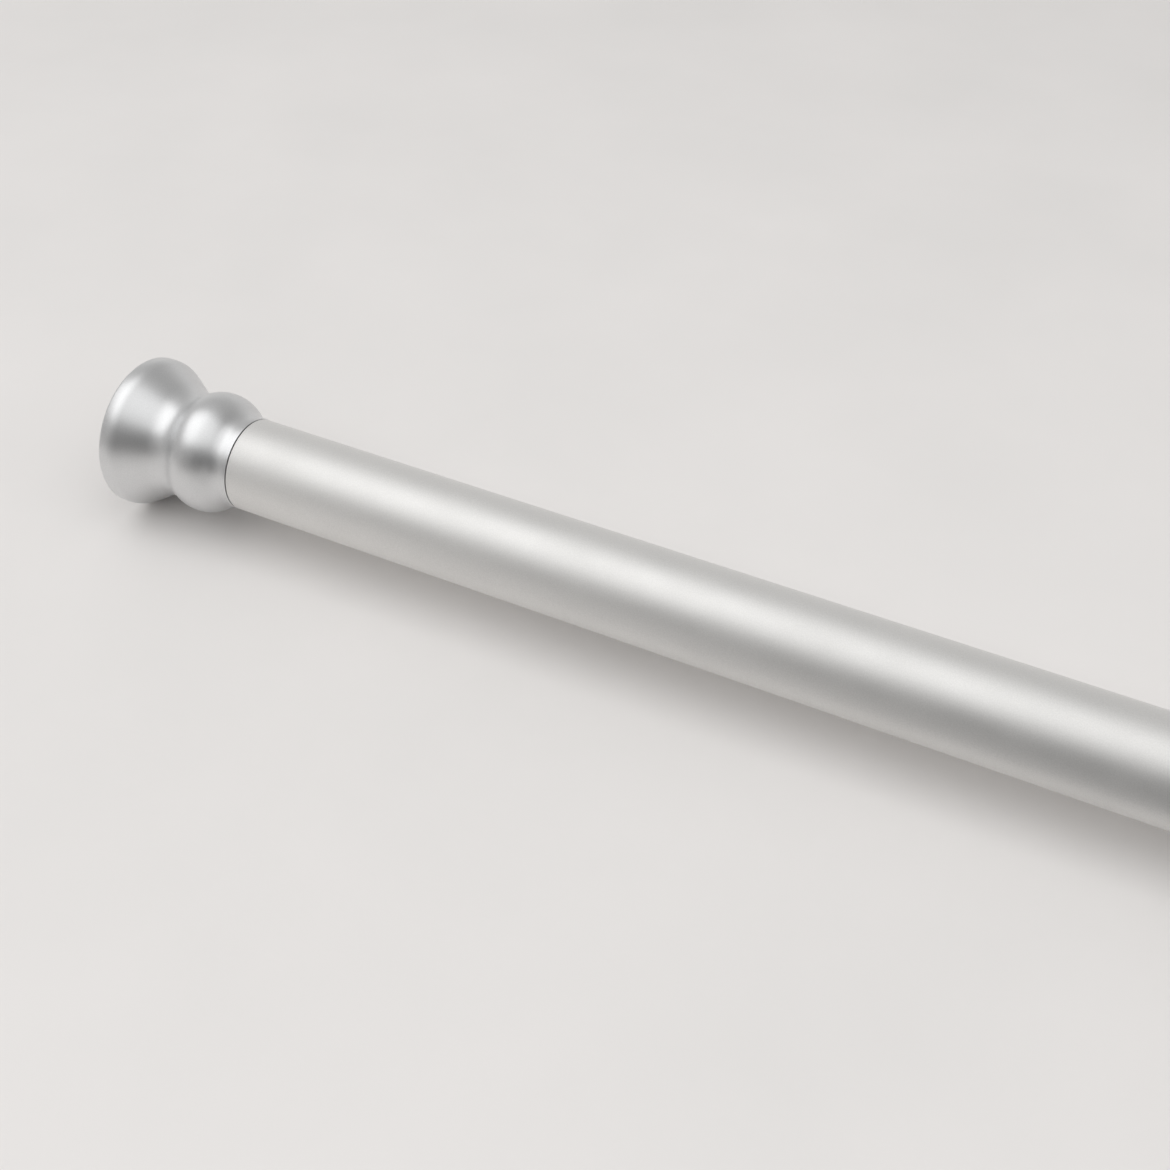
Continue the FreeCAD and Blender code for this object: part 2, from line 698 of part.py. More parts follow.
doc.recompute()
failed = [item.Label for item in doc.Objects if {"Invalid", "Error"} & set(item.State)]
if failed:
    raise RuntimeError(f"these did not build: {failed}")
parts = [item for item in doc.Objects if item.isDerivedFrom("PartDesign::Body")]
for part in parts:
    if part.Shape.isNull() or not part.Shape.isValid() or len(part.Shape.Solids) != 1:
        raise RuntimeError(f"{part.Label} is not one sound solid")

os.makedirs("parts", exist_ok=True)
for part in parts:
    part.Shape.exportStep(f"parts/{part.Label}.step")
    box = part.Shape.BoundBox
    print(f"{part.Label:20} {part.Shape.Volume:9.1f} mm3, X {box.XMin:7.2f} to {box.XMax:7.2f}")
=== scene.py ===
# %% [markdown]
# # A spring tension rod
# The rod is a thin tube that slides in a wide one, with a flared cap on each end. The solids, bodies and
# joints come from the CAD model. This lesson dresses them: it turns the parts that show with round
# edges, gives every part a finish, and sets up the light and the camera.

# %% Load the frame
import math

import bmesh
import bpy
from mathutils import Matrix, Vector


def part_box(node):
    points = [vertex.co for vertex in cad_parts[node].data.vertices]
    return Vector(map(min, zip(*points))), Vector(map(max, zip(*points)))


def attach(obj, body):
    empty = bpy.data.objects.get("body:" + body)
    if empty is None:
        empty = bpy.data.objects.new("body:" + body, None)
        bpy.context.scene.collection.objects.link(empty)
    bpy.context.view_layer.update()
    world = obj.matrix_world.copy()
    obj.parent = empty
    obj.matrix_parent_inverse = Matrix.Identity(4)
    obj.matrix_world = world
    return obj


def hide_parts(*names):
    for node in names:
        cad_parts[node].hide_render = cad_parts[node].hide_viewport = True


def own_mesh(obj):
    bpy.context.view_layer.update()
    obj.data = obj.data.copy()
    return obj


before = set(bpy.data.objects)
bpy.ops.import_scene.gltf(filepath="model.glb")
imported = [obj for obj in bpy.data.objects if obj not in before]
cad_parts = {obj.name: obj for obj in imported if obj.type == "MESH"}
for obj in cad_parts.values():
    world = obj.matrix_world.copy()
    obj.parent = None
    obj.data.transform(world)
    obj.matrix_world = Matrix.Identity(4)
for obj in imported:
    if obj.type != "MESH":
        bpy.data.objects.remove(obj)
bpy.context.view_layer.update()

print("solids:", ", ".join(sorted(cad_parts)))

# %% [markdown]
# ## A pen for outlines
# Nearly every part of the rod is round, so it is made as on a lathe: half of its outline is drawn, then
# turned about the axis. The pen below draws that outline in a bmesh. A straight stroke extrudes the last
# vertex, and a curved one spins it about the arc's centre, so arcs join without a kink. Lengths are in
# millimetres, as on a workshop drawing.

# %% The pen
MM = 0.001
ARC_STEP, FEWEST_STEPS = 4.0, 3


class Pen:
    """Draws half an outline: x runs along the rod, and z is the distance from its axis."""

    def __init__(self, x, radius):
        self.bm = bmesh.new()
        self.tip = self.bm.verts.new((x, 0.0, radius))
        self.heading = 0.0

    def to(self, *corners):
        for x, radius in corners:
            made = bmesh.ops.extrude_vert_indiv(self.bm, verts=[self.tip])
            self.tip = made["verts"][0]
            bmesh.ops.translate(self.bm, verts=[self.tip], vec=Vector((x, 0.0, radius)) - self.tip.co)
        return self

    def along(self, length):
        slope = math.radians(self.heading)
        start = self.tip.co
        return self.to((start.x + length * math.cos(slope), start.z + length * math.sin(slope)))

    def bend(self, radius, degrees):
        slope = math.radians(self.heading)
        side = math.copysign(radius, degrees)
        centre = self.tip.co + side * Vector((-math.sin(slope), 0.0, math.cos(slope)))
        steps = max(FEWEST_STEPS, round(abs(degrees) / ARC_STEP))
        made = bmesh.ops.spin(self.bm, geom=[self.tip], cent=centre, axis=(0.0, -1.0, 0.0),
                              angle=math.radians(degrees), steps=steps)
        self.tip = next(item for item in made["geom_last"] if isinstance(item, bmesh.types.BMVert))
        self.heading += degrees
        return self


print("pen ready, arcs in steps of", ARC_STEP, "degrees")

# %% [markdown]
# ## Turning and rounding
# The lathe is a full spin with use_merge, which joins the last step to the first. Doubled points on the
# axis or at the outline's ends are merged before the normals are worked out. Moulded and rolled parts
# have no knife edges, so the rings at the corners are then bevelled round. A bevel is easier to read
# than an outline with an arc at each corner.

# %% Turn and round
MIDDLE, ALONG = (0.0, 0.0, 0.0), (1.0, 0.0, 0.0)
ROUND_STEPS, BEVEL_STEPS = 144, 4
NEAR = 1e-3


def turn(pen):
    bm = pen.bm
    bmesh.ops.spin(bm, geom=bm.verts[:] + bm.edges[:], cent=MIDDLE, axis=ALONG,
                   angle=math.tau, steps=ROUND_STEPS, use_merge=True)
    bmesh.ops.remove_doubles(bm, verts=bm.verts, dist=NEAR)
    bmesh.ops.recalc_face_normals(bm, faces=bm.faces)
    return bm


def bevel(bm, edges, width, steps=BEVEL_STEPS):
    bmesh.ops.bevel(bm, geom=edges, offset=width, offset_type="OFFSET", affect="EDGES", segments=steps,
                    profile=0.5, material=-1, clamp_overlap=True)
    return bm


def on_ring(vert, x, radius):
    return abs(vert.co.x - x) < NEAR and abs(math.hypot(vert.co.y, vert.co.z) - radius) < NEAR


def round_rings(bm, width, *corners):
    rings = [edge for edge in bm.edges
             if any(all(on_ring(vert, *corner) for vert in edge.verts) for corner in corners)]
    return bevel(bm, rings, width)


print("lathe ready,", ROUND_STEPS, "steps round")

# %% [markdown]
# ## Cutting, moving and winding
# A finished shape is slid along the rod to its place. The wide tube's end parts look the other way, so
# they are mirrored first. A negative scale turns a mesh inside out, and its normals are worked out again
# after that. A spin with a shift per step is a helix, which winds the spring and the threads.

# %% Cut, mirror, shift and wind
UPRIGHT = Matrix.Rotation(math.radians(90), 4, "X")


def cut_across(bm, *places):
    for x in places:
        bmesh.ops.bisect_plane(bm, geom=bm.verts[:] + bm.edges[:] + bm.faces[:], dist=NEAR,
                               plane_co=(x, 0.0, 0.0), plane_no=ALONG)
    return bm


def mirror(bm):
    bmesh.ops.scale(bm, verts=bm.verts, vec=(-1.0, 1.0, 1.0))
    bmesh.ops.recalc_face_normals(bm, faces=bm.faces)
    return bm


def shift(bm, x):
    bmesh.ops.translate(bm, verts=bm.verts, vec=(x, 0.0, 0.0))
    return bm


def wind(bm, faces, turns, pitch, steps):
    """Sweeps faces along a helix, with so many steps to a turn, and returns the last ones."""
    made = bmesh.ops.spin(bm, geom=faces, cent=MIDDLE, axis=ALONG, dvec=(pitch / steps, 0.0, 0.0),
                          angle=math.tau * turns, steps=steps * turns, use_merge=False)
    return [item for item in made["geom_last"] if isinstance(item, bmesh.types.BMFace)]


print("ready to cut, mirror, shift and wind")

# %% [markdown]
# ## From a bmesh to a piece
# A finished piece is scaled to metres in its mesh, so its object stays at the origin, unturned and
# unscaled. It rides on a body of the CAD model, stands for one of its solids, and gets its finish.

# %% Put a piece in the scene
SHARP = math.radians(50)


def put_in(bm, name, body, node, finish):
    bmesh.ops.scale(bm, verts=bm.verts, vec=(MM, MM, MM))
    mesh = bpy.data.meshes.new(name)
    bm.to_mesh(mesh)
    bm.free()
    mesh.shade_smooth()
    mesh.set_sharp_from_angle(angle=SHARP)
    mesh.materials.append(finish)
    piece = bpy.data.objects.new(name, mesh)
    bpy.context.scene.collection.objects.link(piece)
    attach(piece, body)
    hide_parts(node)
    print(f"{name}: {len(mesh.polygons)} faces, rides on {body}")
    return piece


def ends(node):
    low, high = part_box(node)
    return low.x / MM, high.x / MM


print("wide tube from", ends("outer_tube"))

# %% [markdown]
# ## Nodes for the finishes
# Each finish is a Principled shader whose colour, roughness and bump come from noise on Object
# coordinates. The coordinates are in metres, so a scale of 4000 gives grains of about a quarter of a
# millimetre. Most of the noise lies between two levels, and these are spread over the range that is
# asked for.

# %% Helpers for finishes
GRAIN_LOW, GRAIN_HIGH = 0.3, 0.7


class Finish:
    def __init__(self, name, **sockets):
        self.material = bpy.data.materials.new(name)
        self.material.use_nodes = True
        self.nodes = self.material.node_tree.nodes
        self.links = self.material.node_tree.links
        self.shader = self.nodes["Principled BSDF"]
        self.place = self.nodes.new("ShaderNodeTexCoord").outputs["Object"]
        for socket, value in sockets.items():
            self.shader.inputs[socket.replace("_", " ")].default_value = value

    def noise(self, scale, detail, squeeze=(1.0, 1.0, 1.0)):
        mapping = self.nodes.new("ShaderNodeMapping")
        mapping.inputs["Scale"].default_value = squeeze
        texture = self.nodes.new("ShaderNodeTexNoise")
        texture.inputs["Scale"].default_value = scale
        texture.inputs["Detail"].default_value = detail
        self.links.new(self.place, mapping.inputs["Vector"])
        self.links.new(mapping.outputs["Vector"], texture.inputs["Vector"])
        return texture.outputs["Fac"]

    def blend(self, level, first, last):
        ramp = self.nodes.new("ShaderNodeValToRGB")
        ramp.color_ramp.elements[0].position = GRAIN_LOW
        ramp.color_ramp.elements[1].position = GRAIN_HIGH
        ramp.color_ramp.elements[0].color = (*first, 1.0)
        ramp.color_ramp.elements[1].color = (*last, 1.0)
        self.links.new(level, ramp.inputs["Fac"])
        self.links.new(ramp.outputs["Color"], self.shader.inputs["Base Color"])

    def colour(self, first, last, **grain):
        self.blend(self.noise(**grain), first, last)

    def roughness(self, low, high, **grain):
        span = self.nodes.new("ShaderNodeMapRange")
        span.inputs["From Min"].default_value = GRAIN_LOW
        span.inputs["From Max"].default_value = GRAIN_HIGH
        span.inputs["To Min"].default_value = low
        span.inputs["To Max"].default_value = high
        self.links.new(self.noise(**grain), span.inputs["Value"])
        self.links.new(span.outputs["Result"], self.shader.inputs["Roughness"])

    def bump(self, depth, strength, **grain):
        bump = self.nodes.new("ShaderNodeBump")
        bump.inputs["Distance"].default_value = depth * MM
        bump.inputs["Strength"].default_value = strength
        self.links.new(self.noise(**grain), bump.inputs["Height"])
        self.links.new(bump.outputs["Normal"], self.shader.inputs["Normal"])


print("finish helpers ready")

# %% [markdown]
# ## Silver coats
# Both tubes have a satin silver coat, which is a metal flake in lacquer: it shines like metal but
# spreads the light. The caps are moulded and have a smoother coat, so their highlights are smaller and
# stronger. Metallic is set to 1 for both and the roughness tells them apart. Fine noise stands for the
# flakes, and a slow one for uneven spraying.

# %% The two silver coats
tube_coat = Finish("satin_silver_coat", Metallic=1.0)
tube_coat.colour((0.789, 0.784, 0.771), (0.852, 0.846, 0.834), scale=3500, detail=3.0)
tube_coat.roughness(0.55, 0.61, scale=60, detail=4.0)
tube_coat.bump(depth=0.004, strength=0.25, scale=5000, detail=2.0)

cap_coat = Finish("semi_gloss_silver_coat", Metallic=1.0)
cap_coat.colour((0.69, 0.695, 0.70), (0.75, 0.755, 0.76), scale=3500, detail=3.0)
cap_coat.roughness(0.37, 0.41, scale=80, detail=4.0)
cap_coat.bump(depth=0.003, strength=0.2, scale=4000, detail=2.0)
print("coats:", tube_coat.material.name, cap_coat.material.name)

# %% [markdown]
# ## Rubber and plastics
# The pads are matt moulded rubber, the mouth sleeve is grey plastic, and the lock inside is natural
# nylon, which lets a little light in.

# %% Rubber and plastics
rubber = Finish("matt_rubber", Specular_IOR_Level=0.35)
rubber.colour((0.030, 0.030, 0.031), (0.050, 0.050, 0.051), scale=900, detail=4.0)
rubber.roughness(0.62, 0.80, scale=400, detail=3.0)
rubber.bump(depth=0.02, strength=0.5, scale=2500, detail=3.0)

sleeve_plastic = Finish("grey_sleeve_plastic")
sleeve_plastic.colour((0.25, 0.25, 0.245), (0.30, 0.30, 0.295), scale=300, detail=4.0)
sleeve_plastic.roughness(0.42, 0.55, scale=600, detail=3.0)
sleeve_plastic.bump(depth=0.01, strength=0.3, scale=3000, detail=2.0)

nylon = Finish("natural_nylon", Subsurface_Weight=0.1)
nylon.colour((0.60, 0.585, 0.53), (0.68, 0.665, 0.61), scale=200, detail=4.0)
nylon.roughness(0.38, 0.52, scale=700, detail=3.0)
nylon.bump(depth=0.01, strength=0.3, scale=2500, detail=2.0)
print("plastics:", rubber.material.name, sleeve_plastic.material.name, nylon.material.name)

# %% [markdown]
# ## Steel
# The lock has plated screws and a drawn wire spring. They show fine lines from turning and drawing,
# which run round the rod's axis on both. Noise that is squeezed along the axis gives such lines.

# %% Plated steel and spring wire
plated = Finish("zinc_plate", Metallic=1.0)
plated.colour((0.50, 0.51, 0.50), (0.66, 0.66, 0.64), scale=500, detail=4.0)
plated.roughness(0.25, 0.42, scale=900, detail=3.0)
plated.bump(depth=0.01, strength=0.3, scale=1500, detail=2.0, squeeze=(6.0, 1.0, 1.0))

spring_wire = Finish("drawn_spring_wire", Metallic=1.0)
spring_wire.colour((0.22, 0.22, 0.225), (0.34, 0.34, 0.345), scale=700, detail=4.0)
spring_wire.roughness(0.28, 0.45, scale=1200, detail=3.0)
spring_wire.bump(depth=0.01, strength=0.3, scale=2500, detail=2.0, squeeze=(4.0, 1.0, 1.0))
print("steel:", plated.material.name, spring_wire.material.name)

# %% [markdown]
# ## The wide tube
# This is the long silver tube of the photograph, rolled from thin steel. Its wall is one rectangle,
# turned about the axis. The cut ends are deburred, so their edges are bevelled by a small amount. The
# cuts just behind those edges keep the shading of the long wall flat, because a smooth normal fades from
# one ring of points to the next.

# %% Turn the wide tube
WIDE_RADIUS, WIDE_WALL = 12.7, 0.7
DEBURR, EDGE_CUT = 0.1, 1.0
wide_start, wide_end = ends("outer_tube")
wide_bore = WIDE_RADIUS - WIDE_WALL
pen = Pen(wide_start, WIDE_RADIUS).to((wide_end, WIDE_RADIUS), (wide_end, wide_bore))
wide = turn(pen.to((wide_start, wide_bore), (wide_start, WIDE_RADIUS)))
round_rings(wide, DEBURR, (wide_start, WIDE_RADIUS), (wide_end, WIDE_RADIUS))
cut_across(wide, wide_start + EDGE_CUT, wide_end - EDGE_CUT)
put_in(wide, "wide_tube", "outer_body", "outer_tube", tube_coat.material)

# %% [markdown]
# ## The flared caps
# A cap is one moulding: a straight mouth as wide as the tube, a hollow, a round bead, a waist and a bell
# that opens to the rim. Each stroke of the pen is one of those, and the turns add up to nothing, so the
# outline ends parallel to the axis. It starts at x = 0 on the shoulder that faces the tube.

# %% Draw the bell
MOUTH_STEP, MOUTH_HOLLOW = 0.1, 5.0
BEAD_RADIUS, BEAD_ARC = 16.75, 9.8
WAIST_RADIUS, WAIST_ARC = 14.85, 8.5
BELL_SLOPE = 32.5
RIM_RADIUS, RIM_ARC = 20.75, 5.0


def turn_between(radius_a, centre_b, arc_a, arc_b):
    """How far an outline turns from level on one arc until it meets the next one."""
    return math.degrees(math.acos((radius_a - centre_b) / (arc_a + arc_b)))


bead_centre = BEAD_RADIUS - BEAD_ARC
waist_turn = turn_between(WAIST_RADIUS + WAIST_ARC, bead_centre, WAIST_ARC, BEAD_ARC)


def bell_outline(mouth_radius, mouth_land):
    mouth_turn = turn_between(mouth_radius + MOUTH_HOLLOW, bead_centre, MOUTH_HOLLOW, BEAD_ARC)
    pen = Pen(0.0, mouth_radius).along(mouth_land)
    pen.bend(MOUTH_HOLLOW, mouth_turn).bend(BEAD_ARC, -mouth_turn - waist_turn)
    pen.bend(WAIST_ARC, waist_turn + BELL_SLOPE)
    slope = math.radians(BELL_SLOPE)
    climb = RIM_RADIUS - RIM_ARC * (1 - math.cos(slope)) - pen.tip.co.z
    return pen.along(climb / math.sin(slope)).bend(RIM_ARC, -BELL_SLOPE)


print(f"the outline falls {waist_turn:.1f} degrees into the waist and rises {BELL_SLOPE} to the rim")

# %% [markdown]
# Behind the shoulder is a spigot that is pressed in the tube. Six small ribs along it take up its play,
# each a bar that is sunk in the wall and bevelled round.

# %% Add ribs to a spigot
SPIGOT_LENGTH, SPIGOT_PLAY, SPIGOT_WALL = 18.0, 0.35, 2.0
RIB_COUNT, RIB_WIDTH, RIB_FIT = 6, 1.5, 0.05
RIB_LEAD, RIB_SUNK = 1.0, 0.5
RIB_ROUND, RIB_BEVEL_STEPS = 0.2, 3


def add_ribs(cap, spigot):
    foot, top = spigot - SPIGOT_WALL / 2, spigot + SPIGOT_PLAY - RIB_FIT
    start, end = RIB_LEAD - SPIGOT_LENGTH, RIB_SUNK
    bar = Matrix.Translation(((start + end) / 2, 0.0, (foot + top) / 2))
    bar = bar @ Matrix.Diagonal((end - start, RIB_WIDTH, top - foot, 1.0))
    for rib in range(RIB_COUNT):
        round_about = Matrix.Rotation(math.tau * rib / RIB_COUNT, 4, "X")
        made = bmesh.ops.create_cube(cap, size=1.0, matrix=round_about @ bar)
        edges = {edge for vert in made["verts"] for edge in vert.link_edges}
        bevel(cap, list(edges), RIB_ROUND, RIB_BEVEL_STEPS)
    return cap


print(RIB_COUNT, "ribs on a spigot of", SPIGOT_LENGTH, "mm")

# %% [markdown]
# The inside of a cap is plain: a seat for the pad behind the rim, a bore that narrows to the waist, and
# the smaller bore of the spigot.

# %% Turn a cap
RIM_WIDTH, SEAT_DEPTH, SEAT_LEDGE = 2.0, 2.5, 1.5
CAP_WALL, BORE_TAPER, BORE_FLOOR = 2.2, 9.0, 5.0
CAP_ROUND, CAP_EDGE = 0.8, 0.1
cap_bore = WAIST_RADIUS - CAP_WALL


def turn_cap(tube_radius, tube_wall, mouth_land, front):
    mouth_radius = tube_radius + MOUTH_STEP
    spigot = tube_radius - tube_wall - SPIGOT_PLAY
    spigot_bore = spigot - SPIGOT_WALL
    seat, floor = RIM_RADIUS - RIM_WIDTH, front - SEAT_DEPTH
    pen = bell_outline(mouth_radius, mouth_land)
    pen.to((front, RIM_RADIUS), (front, seat), (floor, seat), (floor, seat - SEAT_LEDGE))
    pen.to((front - BORE_TAPER, cap_bore), (BORE_FLOOR, cap_bore), (BORE_FLOOR, spigot_bore))
    pen.to((-SPIGOT_LENGTH, spigot_bore), (-SPIGOT_LENGTH, spigot), (0.0, spigot), (0.0, mouth_radius))
    cap = turn(pen)
    round_rings(cap, CAP_ROUND, (front, RIM_RADIUS), (-SPIGOT_LENGTH, spigot))
    round_rings(cap, CAP_EDGE, (front, seat), (0.0, mouth_radius))
    return add_ribs(cap, spigot)


print("a cap's bore is", cap_bore, "mm in radius")

# %% [markdown]
# The two caps differ in their mouth, since the tubes do. Each stands a hair off the end of its tube,
# which leaves the fine open seam of the photograph.

# %% Place the caps
WIDE_LAND, THIN_LAND, SEAM = 1.9, 0.5, 0.3
THIN_RADIUS, THIN_WALL = 11.1, 0.7
thin_start, thin_end = ends("inner_tube")
wide_shoulder, thin_shoulder = wide_start - SEAM, thin_end + SEAM
wide_front = wide_shoulder - ends("outer_end_cap")[0]
thin_front = ends("inner_end_cap")[1] - thin_shoulder
wide_cap = shift(mirror(turn_cap(WIDE_RADIUS, WIDE_WALL, WIDE_LAND, wide_front)), wide_shoulder)
put_in(wide_cap, "wide_tube_cap", "outer_body", "outer_end_cap", cap_coat.material)
thin_cap = shift(turn_cap(THIN_RADIUS, THIN_WALL, THIN_LAND, thin_front), thin_shoulder)
put_in(thin_cap, "thin_tube_cap", "inner_body", "inner_end_cap", cap_coat.material)

# %% [markdown]
# ## The wall pads
# A soft rubber pad sits in each rim and is what presses on the wall. Two ring grooves let it grip. The
# grooves are drawn square and their edges bevelled, since rubber comes out of a mould with soft edges. A
# hollow plug behind the face holds the pad in the cap's bore.

# %% Turn the wall pads
PAD_RADIUS, PAD_PROUD, PAD_ROUND, PAD_RIM_ROUND = 18.55, 1.2, 0.25, 0.7
PLUG_RADIUS, PLUG_LENGTH, PLUG_WALL = 12.45, 8.0, 2.0
GROOVE_PITCH, GROOVE_WIDTH, GROOVE_DEPTH = 6.0, 1.2, 0.7


def turn_pad():
    face = PLUG_LENGTH + SEAT_DEPTH + PAD_PROUD
    floor = face - GROOVE_DEPTH
    plug_bore = PLUG_RADIUS - PLUG_WALL
    pen, edges = Pen(PLUG_LENGTH, 0.0).to((face, 0.0)), [(0.0, PLUG_RADIUS)]
    for ring in (1, 2):
        low = GROOVE_PITCH * ring - GROOVE_WIDTH / 2
        high = low + GROOVE_WIDTH
        pen.to((face, low), (floor, low), (floor, high), (face, high))
        edges += [(face, low), (face, high)]
    pen.to((face, PAD_RADIUS), (PLUG_LENGTH, PAD_RADIUS), (PLUG_LENGTH, PLUG_RADIUS), (0.0, PLUG_RADIUS))
    pen.to((0.0, plug_bore), (PLUG_LENGTH, plug_bore), (PLUG_LENGTH, 0.0))
    pad = round_rings(turn(pen), PAD_ROUND, *edges)
    return round_rings(pad, PAD_RIM_ROUND, (face, PAD_RADIUS))


wide_pad = shift(mirror(turn_pad()), ends("outer_wall_pad")[1])
put_in(wide_pad, "wide_tube_pad", "outer_body", "outer_wall_pad", rubber.material)
thin_pad = shift(turn_pad(), ends("inner_wall_pad")[0])
put_in(thin_pad, "thin_tube_pad", "inner_body", "inner_wall_pad", rubber.material)

# %% [markdown]
# ## The mouth sleeve
# A grey plastic sleeve lines the wide tube's open end, so that the thin tube slides without scraping.
# Only its lip shows. The lip is as wide as the tube, with a small round on both edges.

# %% Turn the mouth sleeve
SLEEVE_BORE, SLEEVE_FIT, LIP_ROUND = 11.25, 11.95, 0.4
sleeve_start, sleeve_end = ends("mouth_bush")
pen = Pen(sleeve_start, SLEEVE_BORE).to((sleeve_end, SLEEVE_BORE), (sleeve_end, WIDE_RADIUS))
pen.to((wide_end, WIDE_RADIUS), (wide_end, SLEEVE_FIT))
pen.to((sleeve_start, SLEEVE_FIT), (sleeve_start, SLEEVE_BORE))
sleeve = round_rings(turn(pen), LIP_ROUND, (sleeve_end, SLEEVE_BORE), (sleeve_end, WIDE_RADIUS))
put_in(sleeve, "mouth_sleeve", "outer_body", "mouth_bush", sleeve_plastic.material)

# %% [markdown]
# ## The thin tube
# The thin tube has the same coat. Two grooves are rolled in its wall over the plugs inside, and the far
# one comes into view when the rod is drawn out. The wall keeps its thickness there, so the outline has
# each groove twice, once on the way out and once on the way back.

# %% Turn the thin tube
CRIMP_DEPTH, CRIMP_FLOOR, CRIMP_ROUND = 0.8, 0.7, 0.35
CRIMP_INSET, CRIMP_CUT = 7.0, 3.0
crimps = [thin_start + CRIMP_INSET, ends("spring_stop")[1] - CRIMP_INSET]


def crimp(middle, radius, way):
    reach = CRIMP_FLOOR + CRIMP_DEPTH
    low = radius - CRIMP_DEPTH
    return [(middle - way * reach, radius), (middle - way * CRIMP_FLOOR, low),
            (middle + way * CRIMP_FLOOR, low), (middle + way * reach, radius)]


thin_bore = THIN_RADIUS - THIN_WALL
pen = Pen(thin_start, THIN_RADIUS)
for middle in crimps:
    pen.to(*crimp(middle, THIN_RADIUS, 1))
pen.to((thin_end, THIN_RADIUS), (thin_end, thin_bore))
for middle in reversed(crimps):
    pen.to(*crimp(middle, thin_bore, -1))
thin = turn(pen.to((thin_start, thin_bore), (thin_start, THIN_RADIUS)))
round_rings(thin, DEBURR, (thin_start, THIN_RADIUS), (thin_end, THIN_RADIUS))
round_rings(thin, CRIMP_ROUND, *[corner for middle in crimps for corner in crimp(middle, THIN_RADIUS, 1)])
cut_across(thin, thin_start + EDGE_CUT, crimps[0] + CRIMP_CUT)
cut_across(thin, crimps[1] - CRIMP_CUT, crimps[1] + CRIMP_CUT, thin_end - EDGE_CUT)
put_in(thin, "thin_tube", "inner_body", "inner_tube", tube_coat.material)

# %% [markdown]
# ## The spring
# The coil spring sits between the lock's washer and a stop in the thin tube. A circle of wire is wound
# three times: a closed turn, the open turns, and a closed turn. Each winding starts from a face that
# ends up inside the wire, and those faces are deleted. The spring shortens from 66 to 36 mm when the
# thin tube is pushed in.

# %% Coil the spring
COIL_RADIUS, WIRE_RADIUS, WIRE_SIDES = 8.2, 0.8, 12
COIL_STEPS, OPEN_TURNS, CLOSED_PITCH = 40, 5, 1.75
spring_start, spring_end = ends("compression_spring")
open_pitch = (spring_end - spring_start - 2 * WIRE_RADIUS - 2 * CLOSED_PITCH) / OPEN_TURNS

spring = bmesh.new()
wire_place = Matrix.Translation((spring_start + WIRE_RADIUS, 0.0, COIL_RADIUS))
bmesh.ops.create_circle(spring, cap_ends=True, segments=WIRE_SIDES, radius=WIRE_RADIUS,
                        matrix=wire_place @ UPRIGHT)
tip = spring.faces[:]
for turns, pitch in ((1, CLOSED_PITCH), (OPEN_TURNS, open_pitch), (1, CLOSED_PITCH)):
    tip = wind(spring, tip, turns, pitch, COIL_STEPS)
bmesh.ops.remove_doubles(spring, verts=spring.verts, dist=NEAR)
inside = [face for face in spring.faces if all(len(edge.link_faces) > 2 for edge in face.edges)]
bmesh.ops.delete(spring, geom=inside, context="FACES_ONLY")
bmesh.ops.recalc_face_normals(spring, faces=spring.faces)
coil = put_in(spring, "coil_spring", "lock_body", "compression_spring", spring_wire.material)
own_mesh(coil)

# %% [markdown]
# ## The washer
# A stamped steel washer is the spring's moving seat. Stamping leaves a soft edge on one face and a
# sharper one on the other, so the two outer rings are rounded by different amounts.

# %% Turn the washer
WASHER_RADIUS, WASHER_HOLE = 9.3, 2.05
WASHER_SOFT, WASHER_SHARP = 0.3, 0.1
washer_start, washer_end = ends("spring_washer")
pen = Pen(washer_start, WASHER_HOLE).to((washer_start, WASHER_RADIUS), (washer_end, WASHER_RADIUS))
washer = turn(pen.to((washer_end, WASHER_HOLE), (washer_start, WASHER_HOLE)))
round_rings(washer, WASHER_SOFT, (washer_start, WASHER_RADIUS))
round_rings(washer, WASHER_SHARP, (washer_end, WASHER_RADIUS), (washer_start, WASHER_HOLE))
put_in(washer, "seat_washer", "lock_body", "spring_washer", plated.material)

# %% [markdown]
# ## A slotted screw
# Two pan-head screws hold the lock together, one at its nose and one at its tail. The head and the shank
# are turned. For the slot, the head is bisected along the slot's floor and sides, the strip between them
# is deleted, and the two walls and the floor are filled.

# %% Cut a screw's slot
HEAD_RADIUS, HEAD_HEIGHT, HEAD_ROUND = 3.8, 2.6, 0.8
SLOT_WIDTH, SLOT_DEPTH = 1.2, 1.3


def cut_slot(bm):
    half, floor = SLOT_WIDTH / 2, SLOT_DEPTH - HEAD_HEIGHT
    cut_across(bm, floor)
    for side in (half, -half):
        top = [face for face in bm.faces if face.calc_center_median().x < floor]
        parts = {part for face in top for part in (face, *face.edges, *face.verts)}
        bmesh.ops.bisect_plane(bm, geom=list(parts), dist=NEAR,
                               plane_co=(0.0, side, 0.0), plane_no=(0.0, 1.0, 0.0))
    centres = {face: face.calc_center_median() for face in bm.faces}
    strip = [face for face, centre in centres.items() if centre.x < floor and abs(centre.y) < half]
    bmesh.ops.delete(bm, geom=strip, context="FACES")
    for side in (half, -half):
        wall = [edge for edge in bm.edges
                if edge.is_boundary and all(abs(vert.co.y - side) < NEAR for vert in edge.verts)]
        foot = [vert for vert in bm.verts
                if abs(vert.co.x - floor) < NEAR and abs(vert.co.y - side) < NEAR]
        bmesh.ops.edgeloop_fill(bm, edges=[*wall, bm.edges.new(foot)])
    bmesh.ops.edgeloop_fill(bm, edges=[edge for edge in bm.edges if edge.is_boundary])
    return bm


print("slot of", SLOT_WIDTH, "by", SLOT_DEPTH, "mm")

# %% [markdown]
# The thread is a small triangle that winds round the shank, as the spring was wound. Its crest has the
# shank's full width.

